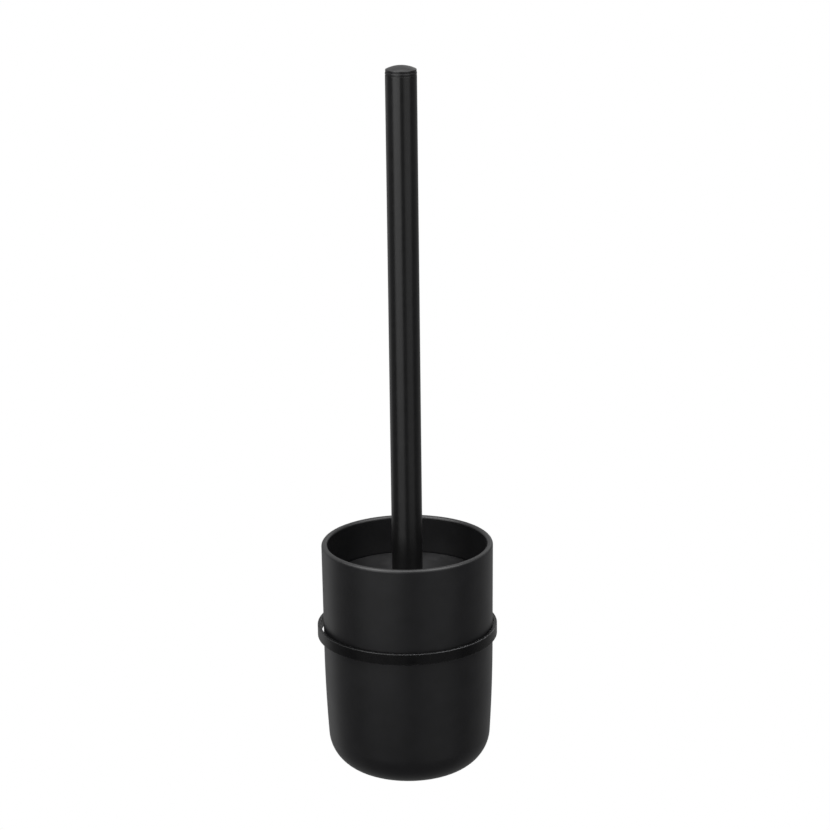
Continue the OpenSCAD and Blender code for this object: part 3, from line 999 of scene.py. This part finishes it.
def build_end_bristles(rng):
    low, high = low_z("end_bristles"), high_z("end_bristles")
    radius = size_of("end_bristles").x / 2
    core_low = low_z("head_core")
    rows = (
        (14, CORE_R - MM, high - 2.6 * MM, 8, (0.36, 0.14)),
        (12, CORE_R - 1.5 * MM, core_low + 4.6 * MM, 24, (0.36, 0.17)),
        (9, CORE_R - 3.5 * MM, core_low + 2.6 * MM, 44, (0.42, 0.2)),
        (6, CORE_END_R - 2.2 * MM, core_low + MM, 67, (0.5, 0.24)),
        (1, 0, core_low + MM, 90, (0.3, 0.3)),
    )
    roots, directions, spreads = [], [], []
    for row, (count, out, z, lean, spread) in enumerate(rows):
        for tuft in range(count):
            angle = (tuft + row % 2 / 2) * 2 * math.pi / count
            roots.append((out * math.cos(angle), out * math.sin(angle), z))
            directions.append(outward(angle, math.radians(lean)))
            spreads.append(spread)
    shape = (radius, high, low, 0.5 * MM, END_BOTTOM_ROUND)
    stand_for(filaments("end_tufts", roots, directions, spreads, shape, rng), "end_bristles")


# ---- Handle ----

def build_washer():
    low, high = low_z("seal_washer"), high_z("seal_washer")
    radius = size_of("seal_washer").x / 2
    edge = 0.3 * MM
    points = section((HUB_BORE_R, low, edge), (radius, low, edge),
                     (radius, high, edge), (HUB_BORE_R, high, edge))
    stand_for(finish_surface(lathe("rubber_washer", points, CUP_AXIS)), "seal_washer")


def build_tube():
    low, high = low_z("handle_tube"), high_z("handle_tube")
    radius = size_of("handle_tube").x / 2
    bore = radius - TUBE_WALL
    points = section((bore, low), (radius, low, 0.25 * MM), (radius, high, 0.1 * MM), (bore, high))
    stand_for(finish_surface(lathe("tube", points, CUP_AXIS)), "handle_tube")


def build_handle_insert():
    low, high = low_z("handle_insert"), high_z("handle_insert")
    radius = size_of("handle_insert").x / 2
    bore = NUT_BORE_R
    steps = 96
    outside = section((bore + 0.5 * MM, low), (radius, low, 0.3 * MM), (radius, high, 0.8 * MM), (0, high))
    inside = list(reversed(thread_rows(bore, low + 0.4 * MM, low + NUT_DEPTH - MM, steps, inner=True)))
    points = outside + [(0, low + NUT_DEPTH), (bore, low + NUT_DEPTH), *inside]
    stand_for(finish_surface(lathe("threaded_plug", points, CUP_AXIS, steps), 30), "handle_insert")


def build_cap():
    """A plug with a flange, and above a narrow groove a low dome that is almost as wide as the tube."""
    low, high = low_z("handle_cap"), high_z("handle_cap")
    tube_top = high_z("handle_tube")
    seat = tube_top + SNUG
    radius = size_of("handle_cap").x / 2
    plug_r = radius - CAP_PLUG_INSET
    side_r = radius - CAP_STEP
    groove_r = side_r - CAP_GROOVE
    joint_top = tube_top + CAP_JOINT
    flange = tube_top + CAP_FLANGE_H
    groove_top = flange + CAP_GROOVE
    joint_r = radius - CAP_JOINT
    side = high - CAP_DOME_H
    dome_r = (side_r ** 2 + CAP_DOME_H ** 2) / (2 * CAP_DOME_H)
    open_angle = math.degrees(math.asin(side_r / dome_r))
    dome = arc((0, high - dome_r), dome_r, 90 - open_angle, 90, 28)
    points = section((0, low), (plug_r, low, 0.5 * MM), (plug_r, seat),
                     (joint_r, seat), (joint_r, joint_top), (radius, joint_top, 0.1 * MM),
                     (radius, flange, 0.2 * MM), (groove_r, flange), (groove_r, groove_top),
                     (side_r, groove_top, 0.1 * MM), (side_r, side, 0.25 * MM), dome[1])
    cap = lathe("domed_cap", points[:-1] + dome[1:-1] + [(0, high)], CUP_AXIS)
    stand_for(finish_surface(cap), "handle_cap")


# ---- Stage ----

def build_floor():
    """A plain white floor under and behind the set."""
    mesh = bpy.data.meshes.new("floor")
    half, height = 9, -0.30
    corners = [(-half, -half, height), (half, -half, height), (half, half, height), (-half, half, height)]
    mesh.from_pydata(corners, [], [(0, 1, 2, 3)])
    floor = new_object("floor", mesh)
    material = bpy.data.materials.new("floor_white")
    material.use_nodes = True
    nodes = material.node_tree.nodes
    nodes.clear()
    glow = nodes.new("ShaderNodeEmission")
    glow.inputs["Strength"].default_value = FLOOR_LIGHT
    output = nodes.new("ShaderNodeOutputMaterial")
    material.node_tree.links.new(glow.outputs["Emission"], output.inputs["Surface"])
    mesh.materials.append(material)
    floor.visible_glossy = False
    floor.visible_shadow = False


def towards(azimuth, elevation):
    """The direction from the set to a lamp; azimuth 0 is the camera's side and 90 is +X."""
    a, e = math.radians(azimuth), math.radians(elevation)
    return Vector((math.sin(a) * math.cos(e), -math.cos(a) * math.cos(e), math.sin(e)))


def softbox(name, azimuth, elevation, distance, width, height, radiance, aim):
    """A rectangular lamp that faces a point, as bright as a white surface of that radiance."""
    lamp = bpy.data.lights.new(name, "AREA")
    lamp.shape = "RECTANGLE"
    lamp.size = width
    lamp.size_y = height
    lamp.energy = radiance * width * height * math.pi
    holder = bpy.data.objects.new(name, lamp)
    bpy.context.scene.collection.objects.link(holder)
    way = towards(azimuth, elevation)
    holder.location = aim + way * distance
    holder.visible_camera = False
    holder.rotation_euler = way.to_track_quat("Z", "Y").to_euler()
    return holder


def build_world():
    """White to the camera; to all else a dim room that brightens behind the set and above it."""
    world = bpy.data.worlds.new("studio")
    bpy.context.scene.world = world
    world.use_nodes = True
    nodes, links = world.node_tree.nodes, world.node_tree.links
    nodes.clear()
    output = nodes.new("ShaderNodeOutputWorld")
    mix = nodes.new("ShaderNodeMixShader")
    path = nodes.new("ShaderNodeLightPath")
    white = nodes.new("ShaderNodeBackground")
    room = nodes.new("ShaderNodeBackground")
    white.inputs["Strength"].default_value = 1.0
    white.inputs["Color"].default_value = (1, 1, 1, 1)
    place = nodes.new("ShaderNodeTexCoord")
    split = nodes.new("ShaderNodeSeparateXYZ")
    links.new(place.outputs["Generated"], split.inputs["Vector"])
    back = nodes.new("ShaderNodeMapRange")
    back.inputs["From Min"].default_value = -0.2
    back.inputs["From Max"].default_value = 0.9
    back.inputs["To Min"].default_value = ROOM_FRONT
    back.inputs["To Max"].default_value = ROOM_BACK
    links.new(split.outputs["Y"], back.inputs["Value"])
    top = nodes.new("ShaderNodeMapRange")
    top.inputs["From Max"].default_value = 0.9
    top.inputs["To Max"].default_value = ROOM_TOP
    links.new(split.outputs["Z"], top.inputs["Value"])
    both = nodes.new("ShaderNodeMath")
    links.new(back.outputs["Result"], both.inputs[0])
    links.new(top.outputs["Result"], both.inputs[1])
    links.new(both.outputs["Value"], room.inputs["Color"])
    links.new(path.outputs["Is Camera Ray"], mix.inputs["Fac"])
    links.new(room.outputs["Background"], mix.inputs[1])
    links.new(white.outputs["Background"], mix.inputs[2])
    links.new(mix.outputs["Shader"], output.inputs["Surface"])


def build_lamps():
    aim = CUP_AXIS + Vector((0, 0, 0.05))
    for name, azimuth, elevation, distance, width, height, radiance in LAMPS:
        softbox(name, azimuth, elevation, distance, width, height, radiance, aim)


def build_camera():
    """A long lens in front of the set, a little above the cup's rim and looking slightly down."""
    distance, elevation = 1.4097, 0.3375
    pitch, yaw, roll = elevation - 0.0468, 0.0037, -0.0122
    camera = bpy.data.objects.new("camera", bpy.data.cameras.new("camera"))
    bpy.context.scene.collection.objects.link(camera)
    camera.data.lens = 117.1
    camera.data.sensor_width = 36
    forward = Vector((math.sin(yaw) * math.cos(pitch), math.cos(yaw) * math.cos(pitch), -math.sin(pitch)))
    right = forward.cross(Vector((0, 0, 1))).normalized()
    up = right.cross(forward)
    rolled_right = math.cos(roll) * right + math.sin(roll) * up
    rolled_up = math.cos(roll) * up - math.sin(roll) * right
    place = RIM_CENTRE + distance * Vector((0, -math.cos(elevation), math.sin(elevation)))
    turn = Matrix((rolled_right, rolled_up, -forward)).transposed()
    camera.matrix_world = Matrix.Translation(place) @ turn.to_4x4()
    bpy.context.scene.camera = camera


# ---- Build ----

build_camera()
build_pad()
build_plate()
build_rose()
build_stem_screw()
build_grub_screw()
build_ring()
build_stem()
build_cup()
build_disc()
build_stud()
build_core_insert()
build_core()
tuft_rng = np.random.default_rng(SEED)
build_side_bristles(tuft_rng)
build_end_bristles(tuft_rng)
build_washer()
build_tube()
build_handle_insert()
build_cap()
build_floor()
build_world()
build_lamps()
bpy.context.scene.view_settings.view_transform = "Standard"
